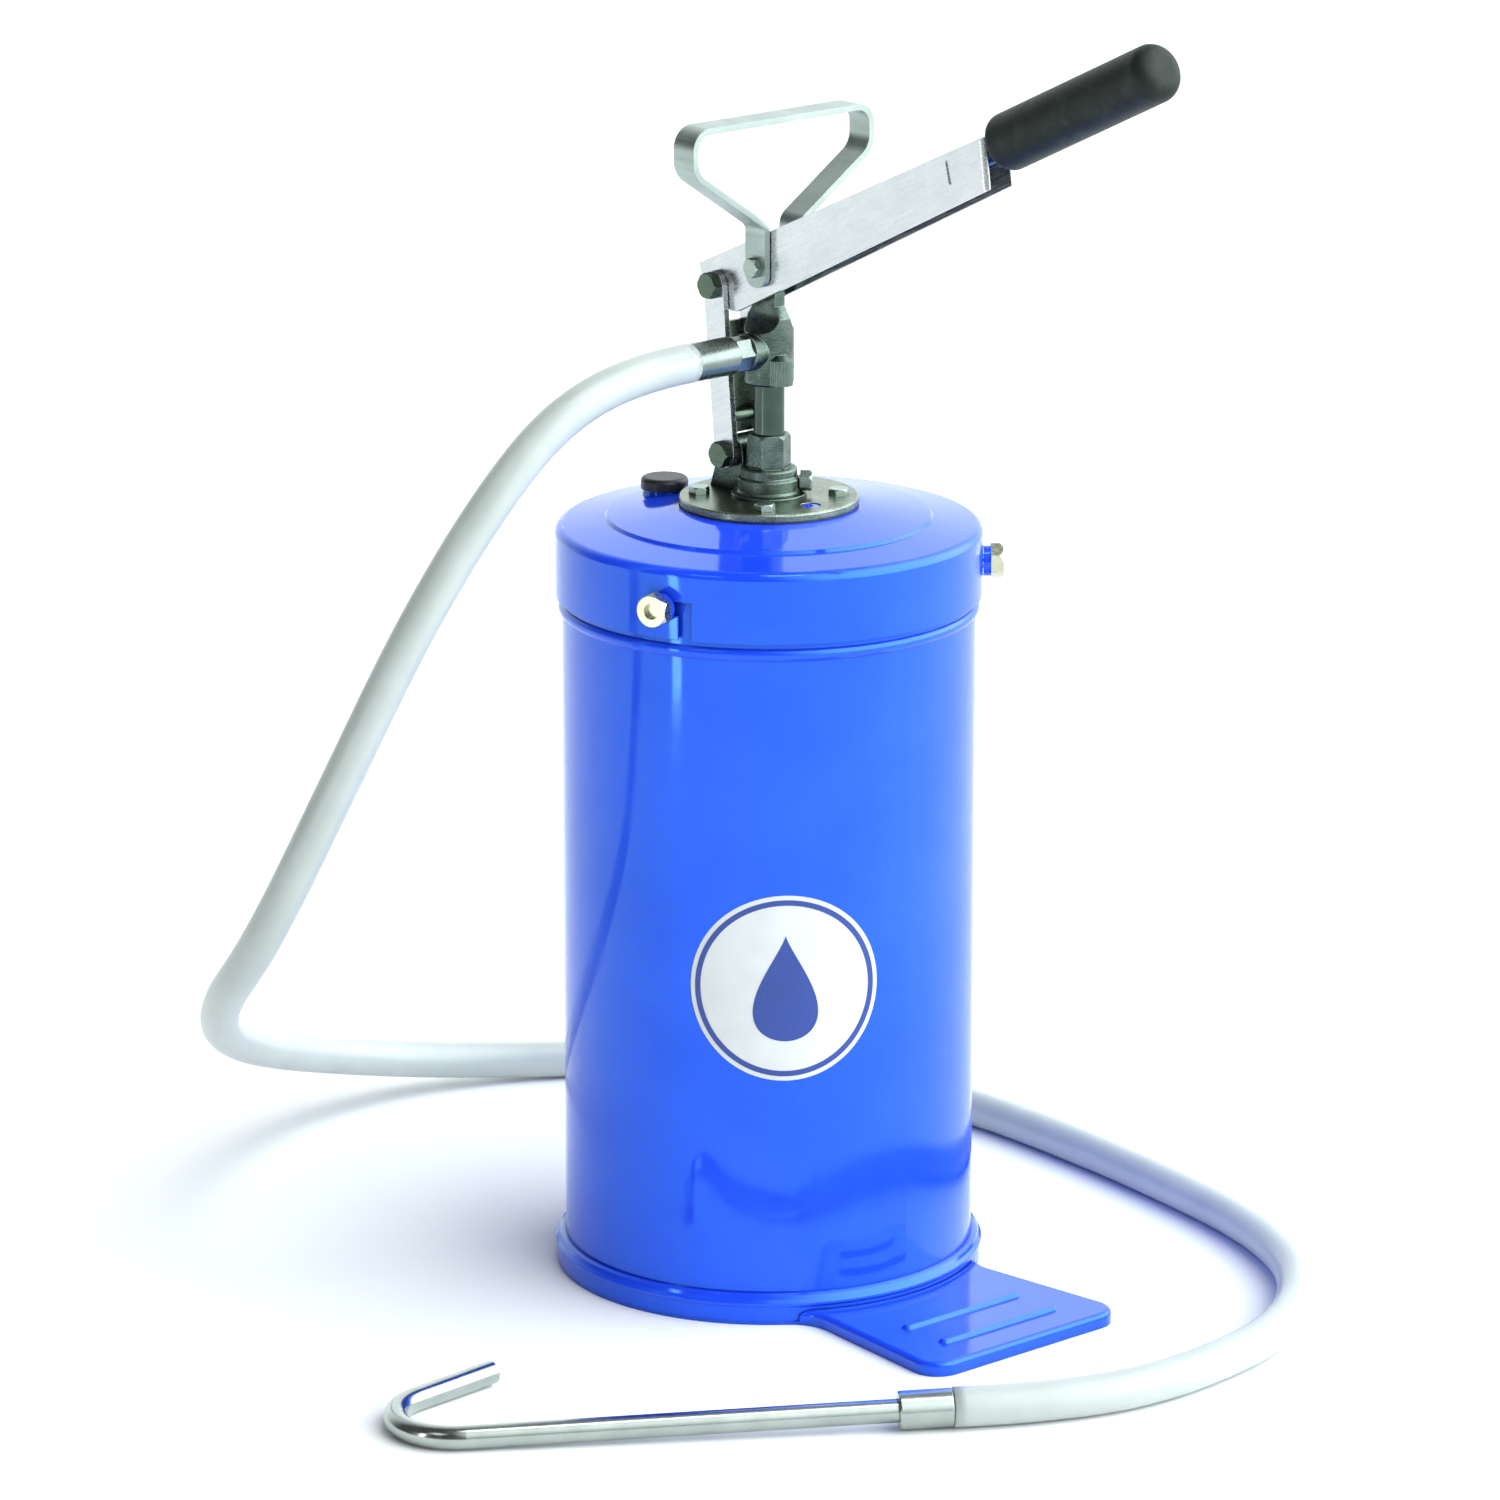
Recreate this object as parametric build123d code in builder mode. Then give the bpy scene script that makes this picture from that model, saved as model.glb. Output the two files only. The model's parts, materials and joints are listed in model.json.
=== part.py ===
from build123d import *

import os
from math import cos, pi, radians, sin, tan

# Hand-lever oil bucket pump: a 16 litre steel bucket on a pressed foot, a bayonet lid that carries a
# lever-worked piston pump, and a delivery hose with a hooked spout.
#
# Frame: millimetres, origin at the centre of the base on the floor, +Z up, +X towards the lever's grip
# and the foot plate, the hose outlet towards -Y.

os.makedirs("parts", exist_ok=True)

# ---------------------------------------------------------------- driving dimensions
FIT = 0.05                      # radial clearance of a pin, rod or piston that runs in a hole

# bucket
TANK_R = 113.0                  # outside of the bucket wall
WALL = 1.5                      # sheet thickness of bucket and lid
TANK_TOP = 412.0
BEAD_Z = 375.0                  # swaged bead that the lid's skirt stops above
BOTTOM_Z = 8.0                  # top of the bucket's own bottom
BASE_SHEET = 2.0                # sheet of the base ring and the foot plate
RING_IN = TANK_R + 0.1          # inside of the base ring
BASE_R = 118.0                  # outside of the base ring
BASE_H = 17.0                   # height of the base ring
ROLL = 0.8                      # how far the ring's rolled bead stands out
BEAD_HALF = 3.5                 # half height of the bucket's bead
BEAD_OUT = 2.0                  # how far the bucket's bead stands out

# foot plate, a disc under the bucket that runs out into a tread
FOOT_X = 212.0                  # how far the plate reaches along +X
FOOT_NECK = 55.0                # half width under the bucket
FOOT_FRONT = 71.0               # half width at the front edge
FOOT_H = 8.0
FOOT_RIBS_X = (158.0, 187.0)    # two raised tread ribs
FOOT_RIB_L = 86.0
FOOT_RIB_W = 7.0
FOOT_RIB_H = 2.2
FLARE_R = 24.0                  # hollow corner between the tread's sides and the rim
TREAD_BACK = 60.0               # x where the tread's sides start, under the bucket
TREAD_GAP = 1.0                 # the tread starts this far outside the ring

# lid
LID_R = 116.5                   # outside of the skirt
LID_SKIRT_Z = 381.6             # lower edge of the skirt
LID_EDGE_Z = 420.0              # height of the shoulder
LID_CREASE_R = 89.5
LID_CREASE_Z = 424.0
LID_SEAT_R = 52.0               # flat seat of the pump flange
LID_SEAT_Z = 431.0
LID_HOLE_R = 21.0
SHOULDER_R = 4.9                # roll between the lid's top and its skirt
SHOULDER_IN = 4.6               # how far in that roll starts
SHOULDER_END = LID_EDGE_Z - 4.0

# three lid bolts in bayonet slots
LID_BOLT_AZ = (-71.0, 49.0, 169.0)
LID_BOLT_Z = 398.5
SLOT_TURN = 6.8                 # the slot's upright leg stands this far round from the bolt
SLOT_W = 8.0
BOLT_R = 4.0                    # M8 shanks, here and in the link
BOLT_AF = 13.0
LID_BOLT_AF = 17.0
LID_BOLT_HEAD = 7.2
DISH_R = 4.2                    # dish in the bolt's head
COLLAR_R = 8.3
COLLAR_L = 4.0
M8_NUT = 6.5                    # height of an M8 nut
M8_HEAD = 5.3
WASHER_R = 7.0
SCREW_R = 3.0                   # M6 flange screws
SCREW_AF = 10.0
HOLE_PLAY = 0.1                 # radial clearance of a plain screw hole

# filler plug
FILLER_R = 67.0                 # radius of its centre on the lid
FILLER_AZ = 197.0
FILLER_H = 11.2                 # height of the filler neck
NECK_OUT = 12.0
NECK_IN = 9.5
CAP_R = 13.0
CAP_H = 6.5

# pump
FLANGE_R = 49.0
FLANGE_Z = 432.0
FLANGE_T = 4.0
FLANGE_SCREW_R = 38.0
BREATHER_X = 34.0
BREATHER_R = 5.5
VENT_R = 1.5                    # the lid's own hole under the breather
PLUG_H = 4.6                    # height of the breather's plug over the lid
BOSS_R = 17.0
BOSS_TOP = 451.5
ROD_R = 8.5
ROD_BORE = 5.5
PACKING_R = 11.6
PACKING_H = 5.0
PACKING_Z = BOSS_TOP - 12       # floor of the stuffing box
GLAND_AF = 21.0
GLAND_TOP = 470.0
LOCK_AZ = 44.0                  # the screw that pins the gland
LOCK_Z = 444.0
LUG_HALF = 9.0                  # half width of the lug that anchors the link
LUG_R = 9.5
GLAND_CLEAR_R = 13.4            # clears the gland's corners above the boss
BARREL_R = 20.0
BARREL_BORE = 17.0
BARREL_FOOT = 62.0              # bottom end of the barrel
FOOT_VALVE_H = 16.0             # height of the foot valve below the barrel
SEAT_R = 6.0
STRAINER_Z = 20.0               # underside of the strainer
FOOT_BALL_R = 8.0
ROD_BALL_R = 7.0
PIN_R = 1.5
PIN_Z = BARREL_FOOT + 18
SEAL_Z = 10.0                   # the seal's groove, up from the piston's underside
SEAL_H = 8.0
SEAL_R = 13.5
PISTON_Z = 112.0                # underside of the piston with the lever at rest
PISTON_H = 30.0
ROD_Z = PISTON_Z + 20           # lower end of the rod, inside the piston
HEAD_Z = 498.0                  # underside of the pump head with the lever at rest
HEAD_R = 13.5
ROD_SOCKET = 8.0                # depth of the rod in the head
CHAMBER_R = 7.5                 # oil chamber in the head
SHOULDER_Z = 535.0              # the head's body ends and tapers to its neck
NECK_R = 9.4
NECK_Z = 541.4
FLAT_Z = 538.0                  # the neck's flats run down to here, then sweep out
FLAT_HALF = 3.5
FLAT_SWEEP = 11.0
OUTLET_Z = 517.0
OUTLET_Y = 18.0                 # end of the outlet boss
OUTLET_R = 10.2
HEX_Y = 28.3                    # end of the nipple's hexagon
HEX_AF = 17.0
SOCKET_R = 8.0                  # tapped hole for the nipple, and its depth
PASSAGE_R = 5.5                 # oil passage through the nipple
FERRULE_R = 10.4
TAIL_R = 6.95                   # the nipple's tail in the ferrule
FERRULE_END = 57.0              # the hose leaves the upper ferrule at y = -FERRULE_END

# linkage
PIVOT = (4.5, 564.0)            # x, z of the lever's pivot bolt, carried by the pump head
LINK_TOP = (-30.0, 549.0)       # x, z of the link's upper bolt
LINK_BASE = (-21.0, 457.0)      # x, z of the link's lower bolt, fixed to the pump base
EYE = 14.0                      # thickness of the head's eye and length of its bush
EYE_R = 10.0
PIVOT_R = 3.0                   # M6 pivot bolt
PIVOT_AF = 10.0
BUSH_R = PIVOT_R + 2
LEVER_W = 20.0                  # outside width of the lever channel
LEVER_T = 2.5
LEVER_BEND = 4.5                # outside radius of the folds
LEVER_TILT = 25.3               # degrees above level at rest
LINK_HOLE_PLAY = 2.2            # room round the link's upper bolt in the lever
BAR_IN = 10.5                   # inner face of the link bars and of the carrying strap
BAR_T = 3.5
BAR_W = 15.5
STRAP_W = 16.0
STRAP_HALF = 63.0               # half width of the strap's loop
WEB_T = 2.5                     # plate between the link bars, and its lower and upper ends
WEB_LOW = 465.8
WEB_HIGH = 526.5
LINK_PIN_Z = 476.5
LINK_PIN_R = 3.2

# grip
GRIP_AXIS = 6.0                 # height of the grip's axis above the lever's own line
GRIP_START = 200.0              # along the lever from the pivot
GRIP_L = 129.0
GRIP_R = 15.5
CORE_R = 7.4

# hose
HOSE_R = 10.75
HOSE_ROUTE = [
    (0, -FERRULE_END, OUTLET_Z), (0, -96, OUTLET_Z), (-4, -146, 500), (-14, -184, 459),
    (-33, -221, 393), (-61, -251, 307), (-104, -272, 212), (-187, -244, 147),
    (-282, -158, 88), (-352, -45, 40), (-350, 76, 11), (-268, 188, 11),
    (-130, 245, 11), (45, 236, 11), (205, 197, 11), (291, 110, 11),
    (317, 5, 11), (297, -66, 11), (268, -109, 11),
]
SPOUT_FERRULE_L = 29.0
SPOUT_FERRULE_R = 10.3
SPOUT_R = 6.3
SPOUT_WALL = 1.2
SPOUT_STRAIGHT = 256.0          # from the end of the hose to the start of the hook
SPOUT_HOOK_R = 33.4
SPOUT_HOOK_TURN = 142.0
SPOUT_TIP = 55.0
SPOUT_DROP = 0.016              # fall of the spout per unit of length, ferrule to hook


# ---------------------------------------------------------------- helpers
def save(builder, name):
    """Label a finished sub-part and write it."""
    builder.part.label = name
    export_step(builder.part, f"parts/{name}.step")


def radial_plane(azimuth, distance, height):
    """A plane facing outwards from the Z axis."""
    a = radians(azimuth)
    direction = (cos(a), sin(a), 0)
    return Plane(origin=(distance * cos(a), distance * sin(a), height), z_dir=direction, x_dir=(0, 0, 1))


def across(point, y):
    """A plane facing -Y at the given x, z and y."""
    return Plane(origin=(point[0], y, point[1]), x_dir=(1, 0, 0), z_dir=(0, -1, 0))


def rod(plane, radius, length):
    """Add a round bar."""
    with BuildSketch(plane) as section:
        Circle(radius)
    extrude(section.sketch, amount=length)


def bore(plane, radius, length):
    """Cut a round hole."""
    with BuildSketch(plane) as section:
        Circle(radius)
    extrude(section.sketch, amount=length, mode=Mode.SUBTRACT)


def hexagon(plane, across_flats, length, bevel=0.7):
    """Add a hexagonal bar, its far corners turned off to a cone."""
    corner_r = across_flats / 2 / cos(radians(30))
    with BuildPart(plane, mode=Mode.PRIVATE) as bar:
        Cylinder(corner_r, length, align=(Align.CENTER, Align.CENTER, Align.MIN))
        far_end = bar.faces().sort_by(Axis(plane.origin, plane.z_dir))[-1]
        chamfer(far_end.edges(), length=bevel, length2=1.7 * bevel, reference=far_end)
        with BuildSketch(plane) as section:
            RegularPolygon(radius=across_flats / 2, side_count=6, major_radius=False)
        extrude(section.sketch, amount=length, mode=Mode.INTERSECT)
    add(bar.part)


def turned(*points):
    """Add a body of revolution about Z from its half section."""
    with BuildSketch(Plane.XZ) as section:
        with BuildLine():
            Polyline(*points, close=True)
        make_face()
    revolve(section.sketch, axis=Axis.Z)


# ---------------------------------------------------------------- bucket
with BuildPart() as base_ring:
    turned((RING_IN, BASE_SHEET), (BASE_R, BASE_SHEET), (BASE_R, BASE_H - 7), (BASE_R + ROLL, BASE_H - 6),
           (BASE_R + ROLL, BASE_H - 4.6), (BASE_R - ROLL, BASE_H - 3), (BASE_R - 2 * ROLL, BASE_H - 1),
           (BASE_R - 4 * ROLL, BASE_H), (RING_IN, BASE_H))
save(base_ring, "base_ring")

with BuildPart() as foot_plate:
    with BuildSketch(Plane.XY) as tread:
        Circle(BASE_R)
        Polygon((TREAD_BACK, -FOOT_NECK), (FOOT_X, -FOOT_FRONT), (FOOT_X, FOOT_FRONT),
                (TREAD_BACK, FOOT_NECK), align=None)
        fillet(tread.vertices().group_by(Axis.X)[-1], radius=15)
        necks = tread.vertices().filter_by(lambda v: TREAD_BACK < v.X < BASE_R)
        fillet(necks, radius=FLARE_R)
    extrude(amount=FOOT_H)
    fillet(foot_plate.faces().sort_by(Axis.Z)[-1].edges(), radius=3)
    bore(Plane.XY.offset(BASE_SHEET), BASE_R + TREAD_GAP, FOOT_H)
    with BuildSketch(Plane.XY) as hollow:
        Polygon((BASE_R, -FOOT_NECK - 4), (FOOT_X - BASE_SHEET, -FOOT_FRONT + 3),
                (FOOT_X - BASE_SHEET, FOOT_FRONT - 3), (BASE_R, FOOT_NECK + 4), align=None)
        fillet(hollow.vertices().group_by(Axis.X)[-1], radius=13)
        Circle(BASE_R + TREAD_GAP + BASE_SHEET, mode=Mode.SUBTRACT)
    extrude(amount=FOOT_H - BASE_SHEET, mode=Mode.SUBTRACT)
    for rib_x in FOOT_RIBS_X:
        with BuildSketch(Plane(origin=(rib_x, 0, FOOT_H), x_dir=(0, 1, 0), z_dir=(0, 0, 1))):
            SlotOverall(FOOT_RIB_L, FOOT_RIB_W)
        extrude(amount=FOOT_RIB_H, taper=35)
save(foot_plate, "foot_plate")

with BuildPart() as tank_shell:
    with BuildSketch(Plane.XZ):
        with BuildLine():
            inside = TANK_R - WALL
            low = BEAD_Z - BEAD_HALF
            high = BEAD_Z + BEAD_HALF
            Polyline((inside, low), (inside, BASE_SHEET), (TANK_R, BASE_SHEET), (TANK_R, low))
            ThreePointArc((TANK_R, low), (TANK_R + BEAD_OUT, BEAD_Z), (TANK_R, high))
            Polyline((TANK_R, high), (TANK_R, TANK_TOP), (inside, TANK_TOP), (inside, high))
            ThreePointArc((inside, high), (inside + BEAD_OUT, BEAD_Z), (inside, low))
        make_face()
    revolve(axis=Axis.Z)
    for azimuth in LID_BOLT_AZ:
        bore(radial_plane(azimuth, TANK_R - 8, LID_BOLT_Z), BOLT_R + FIT, 12)
save(tank_shell, "tank_shell")

with BuildPart() as tank_bottom:
    rod(Plane.XY.offset(BOTTOM_Z - WALL), TANK_R - WALL - 0.1, WALL)
save(tank_bottom, "tank_bottom")

# ---------------------------------------------------------------- lid
FILLER_AT = (FILLER_R * cos(radians(FILLER_AZ)), FILLER_R * sin(radians(FILLER_AZ)))
SCREW_SIDE = FLANGE_SCREW_R * cos(radians(45))
SCREW_PLACES = [(x, y) for x in (SCREW_SIDE, -SCREW_SIDE) for y in (SCREW_SIDE, -SCREW_SIDE)]

with BuildPart() as lid:
    with BuildSketch(Plane.XZ):
        with BuildLine():
            Polyline((LID_HOLE_R, LID_SEAT_Z), (LID_SEAT_R, LID_SEAT_Z),
                     (LID_CREASE_R - 1.5, LID_CREASE_Z + 1.8), (LID_CREASE_R, LID_CREASE_Z),
                     (LID_R - SHOULDER_IN, LID_EDGE_Z + 0.6))
            RadiusArc((LID_R - SHOULDER_IN, LID_EDGE_Z + 0.6), (LID_R, SHOULDER_END), SHOULDER_R)
            Polyline((LID_R, SHOULDER_END), (LID_R, LID_SKIRT_Z), (LID_R - WALL, LID_SKIRT_Z),
                     (LID_R - WALL, SHOULDER_END))
            RadiusArc((LID_R - WALL, SHOULDER_END), (LID_R - SHOULDER_IN, LID_EDGE_Z + 0.6 - WALL),
                      WALL - SHOULDER_R)
            Polyline((LID_R - SHOULDER_IN, LID_EDGE_Z + 0.6 - WALL), (LID_CREASE_R, LID_CREASE_Z - WALL),
                     (LID_SEAT_R, LID_SEAT_Z - WALL), (LID_HOLE_R, LID_SEAT_Z - WALL),
                     (LID_HOLE_R, LID_SEAT_Z))
        make_face()
    revolve(axis=Axis.Z)
    for azimuth in LID_BOLT_AZ:
        for step in range(5):
            with BuildSketch(radial_plane(azimuth + step * SLOT_TURN / 4, TANK_R + 0.5, LID_BOLT_Z)):
                Rectangle(SLOT_W, SLOT_W)
            extrude(amount=8, mode=Mode.SUBTRACT)
        with BuildSketch(radial_plane(azimuth + SLOT_TURN, TANK_R + 0.5, LID_SKIRT_Z)):
            Rectangle(2 * (LID_BOLT_Z - LID_SKIRT_Z), SLOT_W)
        extrude(amount=8, mode=Mode.SUBTRACT)
    with BuildSketch(Plane.XY.offset(LID_EDGE_Z - 8)):
        with Locations(*SCREW_PLACES):
            Circle(SCREW_R + HOLE_PLAY)
        with Locations(FILLER_AT):
            Circle(NECK_OUT + HOLE_PLAY)
        with Locations((BREATHER_X, 0)):
            Circle(VENT_R)
    extrude(amount=30, mode=Mode.SUBTRACT)
save(lid, "lid")

with BuildPart() as lid_gasket:
    turned((TANK_R - 5, TANK_TOP), (TANK_R + 1.6, TANK_TOP), (TANK_R + 1.6, TANK_TOP + 3),
           (TANK_R - 5, TANK_TOP + 5))
save(lid_gasket, "lid_gasket")

with BuildPart() as lid_bolts:
    for azimuth in LID_BOLT_AZ:
        head_at = LID_R + COLLAR_L + 0.2
        rod(radial_plane(azimuth, TANK_R - 11, LID_BOLT_Z), BOLT_R, 19)
        hexagon(radial_plane(azimuth, head_at, LID_BOLT_Z), LID_BOLT_AF, LID_BOLT_HEAD, bevel=1.4)
        bore(radial_plane(azimuth, head_at + 4, LID_BOLT_Z), DISH_R, LID_BOLT_HEAD)
save(lid_bolts, "lid_bolts")

with BuildPart() as lid_collars:
    for azimuth in LID_BOLT_AZ:
        rod(radial_plane(azimuth, LID_R + 0.2, LID_BOLT_Z), COLLAR_R, COLLAR_L)
        bore(radial_plane(azimuth, LID_R, LID_BOLT_Z), BOLT_R + HOLE_PLAY, COLLAR_L + 1)
save(lid_collars, "lid_collars")

with BuildPart() as weld_nuts:
    for azimuth in LID_BOLT_AZ:
        hexagon(radial_plane(azimuth, TANK_R - 8.5, LID_BOLT_Z), BOLT_AF, 6.6)
        bore(radial_plane(azimuth, TANK_R - 9, LID_BOLT_Z), BOLT_R + FIT, 8)
save(weld_nuts, "weld_nuts")

with BuildPart() as filler_neck:
    neck = Plane(origin=(*FILLER_AT, LID_EDGE_Z))
    rod(neck, NECK_OUT, FILLER_H)
    bore(neck, NECK_IN, FILLER_H)
save(filler_neck, "filler_neck")

with BuildPart() as filler_cap:
    rod(Plane(origin=(*FILLER_AT, LID_EDGE_Z + FILLER_H + 0.2)), CAP_R, CAP_H)
    fillet(filler_cap.faces().sort_by(Axis.Z)[-1].edges(), radius=2.5)
    rod(Plane(origin=(*FILLER_AT, LID_EDGE_Z - 5)), NECK_IN - 0.3, FILLER_H + 6)
save(filler_cap, "filler_cap")

# ---------------------------------------------------------------- pump base
with BuildPart() as pump_flange:
    rod(Plane.XY.offset(FLANGE_Z), FLANGE_R, FLANGE_T)
    chamfer(pump_flange.faces().sort_by(Axis.Z)[-1].edges(), length=0.8)
    with BuildSketch(Plane.XY.offset(FLANGE_Z)):
        Circle(ROD_R + 0.5)
        with Locations(*SCREW_PLACES):
            Circle(SCREW_R + HOLE_PLAY)
        with Locations((BREATHER_X, 0)):
            Circle(BREATHER_R)
    extrude(amount=FLANGE_T, mode=Mode.SUBTRACT)
save(pump_flange, "pump_flange")

with BuildPart() as breather_plug:
    breather = Plane(origin=(BREATHER_X, 0, LID_SEAT_Z))
    rod(breather, BREATHER_R - 0.2, PLUG_H)
    fillet(breather_plug.faces().sort_by(Axis.Z)[-1].edges(), radius=1)
    bore(breather, VENT_R, PLUG_H)
save(breather_plug, "breather_plug")

with BuildPart() as flange_gasket:
    with BuildSketch(Plane.XY.offset(LID_SEAT_Z)):
        Circle(FLANGE_R - 0.5)
        Circle(LID_HOLE_R, mode=Mode.SUBTRACT)
        with Locations(*SCREW_PLACES):
            Circle(SCREW_R + HOLE_PLAY, mode=Mode.SUBTRACT)
        with Locations((BREATHER_X, 0)):
            Circle(BREATHER_R, mode=Mode.SUBTRACT)
    extrude(amount=FLANGE_Z - LID_SEAT_Z)
save(flange_gasket, "flange_gasket")

with BuildPart() as flange_screws:
    for place in SCREW_PLACES:
        hexagon(Plane(origin=(*place, FLANGE_Z + FLANGE_T)), SCREW_AF, 4)
        rod(Plane(origin=(*place, LID_SEAT_Z - 9)), SCREW_R, 15)
save(flange_screws, "flange_screws")

with BuildPart() as flange_nuts:
    for place in SCREW_PLACES:
        hexagon(Plane(origin=(*place, LID_SEAT_Z - WALL), z_dir=(0, 0, -1)), SCREW_AF, 5)
        bore(Plane(origin=(*place, LID_SEAT_Z - 9)), SCREW_R + FIT, 9)
save(flange_nuts, "flange_nuts")

with BuildPart() as pump_base:
    foot_z = FLANGE_Z + FLANGE_T
    lip = BOSS_R - 1.6
    turned((0, foot_z), (BOSS_R + 3.5, foot_z), (BOSS_R + 3.5, foot_z + 1.4), (BOSS_R + 0.6, foot_z + 2.4),
           (BOSS_R, foot_z + 3.4), (BOSS_R, BOSS_TOP - 6), (lip, BOSS_TOP - 4.6), (lip, BOSS_TOP - 0.8),
           (lip - 0.8, BOSS_TOP), (0, BOSS_TOP))
    with BuildSketch(Plane.XZ.offset(-LUG_HALF)):
        with Locations(LINK_BASE):
            Circle(LUG_R)
        Polygon((-38, foot_z), (-10, foot_z), (-11.5, LINK_BASE[1]),
                (LINK_BASE[0] - LUG_R + 0.1, LINK_BASE[1] + 1.5), align=None)
    extrude(amount=2 * LUG_HALF)
    bore(Plane.XY.offset(BOSS_TOP), GLAND_CLEAR_R, 30)
    bore(Plane.XY.offset(foot_z), ROD_R + HOLE_PLAY, 30)
    bore(Plane.XY.offset(PACKING_Z), PACKING_R, 30)
    bore(across(LINK_BASE, LUG_HALF + 1), BOLT_R + FIT, 2 * LUG_HALF + 2)
    bore(radial_plane(LOCK_AZ, PACKING_R - 1, LOCK_Z), SCREW_R + FIT, 10)
save(pump_base, "pump_base")

with BuildPart() as gland_packing:
    packing = Plane.XY.offset(PACKING_Z)
    rod(packing, PACKING_R - FIT, PACKING_H)
    bore(packing, ROD_R + FIT, PACKING_H)
save(gland_packing, "gland_packing")

with BuildPart() as gland_nut:
    rod(Plane.XY.offset(PACKING_Z + PACKING_H), PACKING_R - FIT, BOSS_TOP - PACKING_Z - PACKING_H)
    hexagon(Plane.XY.offset(BOSS_TOP), GLAND_AF, GLAND_TOP - BOSS_TOP, bevel=1.2)
    bore(Plane.XY.offset(PACKING_Z), ROD_R + 0.08, GLAND_TOP)
save(gland_nut, "gland_nut")

with BuildPart() as gland_lock_screw:
    rod(radial_plane(LOCK_AZ, PACKING_R + 0.1, LOCK_Z), SCREW_R, 7)
    hexagon(radial_plane(LOCK_AZ, BOSS_R + 0.1, LOCK_Z), SCREW_AF, 6.4)
save(gland_lock_screw, "gland_lock_screw")

# ---------------------------------------------------------------- barrel and foot valve
with BuildPart() as pump_barrel:
    rod(Plane.XY.offset(BARREL_FOOT), BARREL_R, FLANGE_Z - BARREL_FOOT)
    bore(Plane.XY.offset(BARREL_FOOT), BARREL_BORE, FLANGE_Z - BARREL_FOOT)
save(pump_barrel, "pump_barrel")

with BuildPart() as foot_valve_body:
    plug = BARREL_BORE - 0.1
    turned((SEAT_R, BARREL_FOOT - FOOT_VALVE_H), (BARREL_R, BARREL_FOOT - FOOT_VALVE_H),
           (BARREL_R, BARREL_FOOT), (plug, BARREL_FOOT), (plug, BARREL_FOOT + 22),
           (SEAT_R + 4, BARREL_FOOT + 22), (SEAT_R + 4, BARREL_FOOT + 4), (SEAT_R, BARREL_FOOT))
    bore(across((0, PIN_Z), BARREL_R), PIN_R + HOLE_PLAY, 2 * BARREL_R)
save(foot_valve_body, "foot_valve_body")

with BuildPart() as foot_valve_ball:
    with Locations((0, 0, BARREL_FOOT + 5.4)):
        Sphere(FOOT_BALL_R)
save(foot_valve_ball, "foot_valve_ball")

with BuildPart() as foot_valve_pin:
    rod(across((0, PIN_Z), BARREL_BORE - 0.3), PIN_R, 2 * BARREL_BORE - 0.6)
save(foot_valve_pin, "foot_valve_pin")

with BuildPart() as inlet_strainer:
    strainer_top = BARREL_FOOT - FOOT_VALVE_H
    turned((0, STRAINER_Z), (BARREL_R, STRAINER_Z), (BARREL_R, strainer_top),
           (BARREL_R - WALL, strainer_top), (BARREL_R - WALL, STRAINER_Z + WALL), (0, STRAINER_Z + WALL))
    for azimuth in range(0, 360, 30):
        with BuildSketch(radial_plane(azimuth, BARREL_R - 4, STRAINER_Z + 13)):
            SlotOverall(16, 4)
        extrude(amount=8, mode=Mode.SUBTRACT)
save(inlet_strainer, "inlet_strainer")

# ---------------------------------------------------------------- piston and rod
with BuildPart() as piston_rod:
    rod(Plane.XY.offset(ROD_Z), ROD_R, HEAD_Z + ROD_SOCKET - ROD_Z)
    bore(Plane.XY.offset(ROD_Z), ROD_BORE, HEAD_Z)
save(piston_rod, "piston_rod")

with BuildPart() as piston:
    face = BARREL_BORE - FIT
    crown = PISTON_Z + PISTON_H
    turned((5, PISTON_Z), (face, PISTON_Z), (face, PISTON_Z + SEAL_Z), (SEAL_R, PISTON_Z + SEAL_Z),
           (SEAL_R, PISTON_Z + SEAL_Z + SEAL_H), (face, PISTON_Z + SEAL_Z + SEAL_H), (face, crown),
           (ROD_R, crown), (ROD_R, ROD_Z), (7.9, ROD_Z), (7.9, PISTON_Z + 7.2), (5, PISTON_Z + 4))
save(piston, "piston")

with BuildPart() as piston_seal:
    ring = Plane.XY.offset(PISTON_Z + SEAL_Z)
    rod(ring, BARREL_BORE - FIT, SEAL_H)
    bore(ring, SEAL_R, SEAL_H)
save(piston_seal, "piston_seal")

with BuildPart() as piston_valve_ball:
    with Locations((0, 0, PISTON_Z + 9.1)):
        Sphere(ROD_BALL_R)
save(piston_valve_ball, "piston_valve_ball")

# ---------------------------------------------------------------- pump head
PAD_AT = (12.4, -2.6)           # fluted pad beside the outlet
PAD_R = 6.7
PAD_TOP = 514.0
FLUTES = 26
NECK_TOP = PIVOT[1] - 7

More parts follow.
